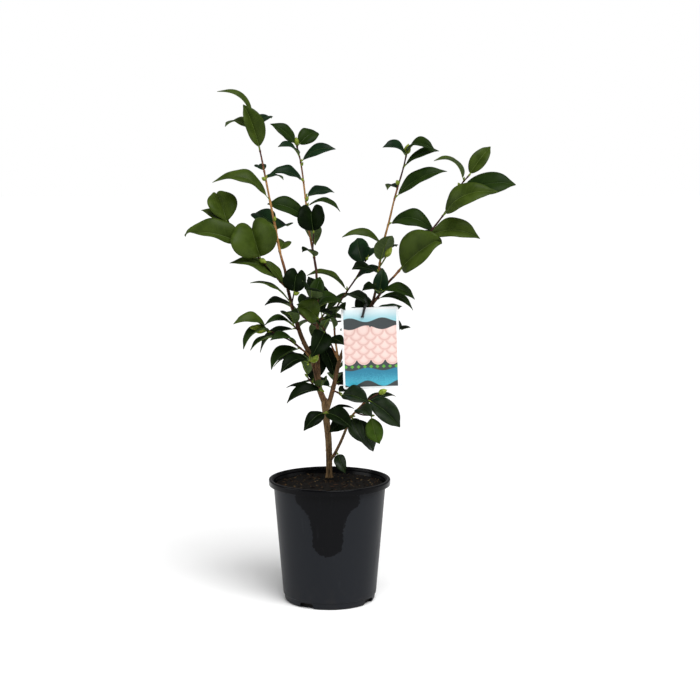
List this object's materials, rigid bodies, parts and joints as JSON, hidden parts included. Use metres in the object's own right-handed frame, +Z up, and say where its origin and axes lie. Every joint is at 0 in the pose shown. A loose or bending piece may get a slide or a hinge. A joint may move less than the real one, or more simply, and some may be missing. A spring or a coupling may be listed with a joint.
{
  "type": "potted camellia shrub",
  "caption": "Young upright broad-leaved evergreen shrub with glossy oval leaves, in a round black nursery pot with a hanging card.",
  "frame": {"origin": "centre of the pot's flat underside, on the surface that the pot stands on", "axes": "+Z up along the pot's axis, +X to the plant's right as seen from the front, and the front faces -Y"},
  "size_m": [0.5354, 0.2974, 0.846],
  "materials": {
    "pot_plastic": "black moulded polypropylene with a soft gloss",
    "potting_mix": "dark damp composted bark",
    "bark": "thin tan-brown bark, smooth with fine cracks and leaf scars",
    "foliage": "glossy dark green leaves, matt and paler underneath, on purple-brown twigs",
    "card": "thin printed white plastic sheet, satin",
    "strap": "black nylon, satin"
  },
  "bodies": {
    "root": {"pot": "pot_plastic", "soil": "potting_mix", "trunk": "bark", "bough_left": "bark", "bough_middle": "bark", "bough_right": "bark", "bough_far_right": "bark", "bough_low_right": "bark", "card_front": "card", "card_back": "card", "strap": "strap", "left_top": "foliage", "far_left": "foliage", "left_spur": "foliage", "left_low": "foliage", "low_left": "foliage", "middle_top": "foliage", "middle_spur": "foliage", "centre_front": "foliage", "centre_left": "foliage", "lower_left": "foliage", "low_front": "foliage", "low_right": "foliage", "foot_spur": "foliage", "right_low": "foliage", "right_inner": "foliage", "right_top": "foliage", "right_middle": "foliage", "far_right": "foliage", "back_left": "foliage", "back_right": "foliage", "back_low": "foliage"}
  },
  "joints": []
}
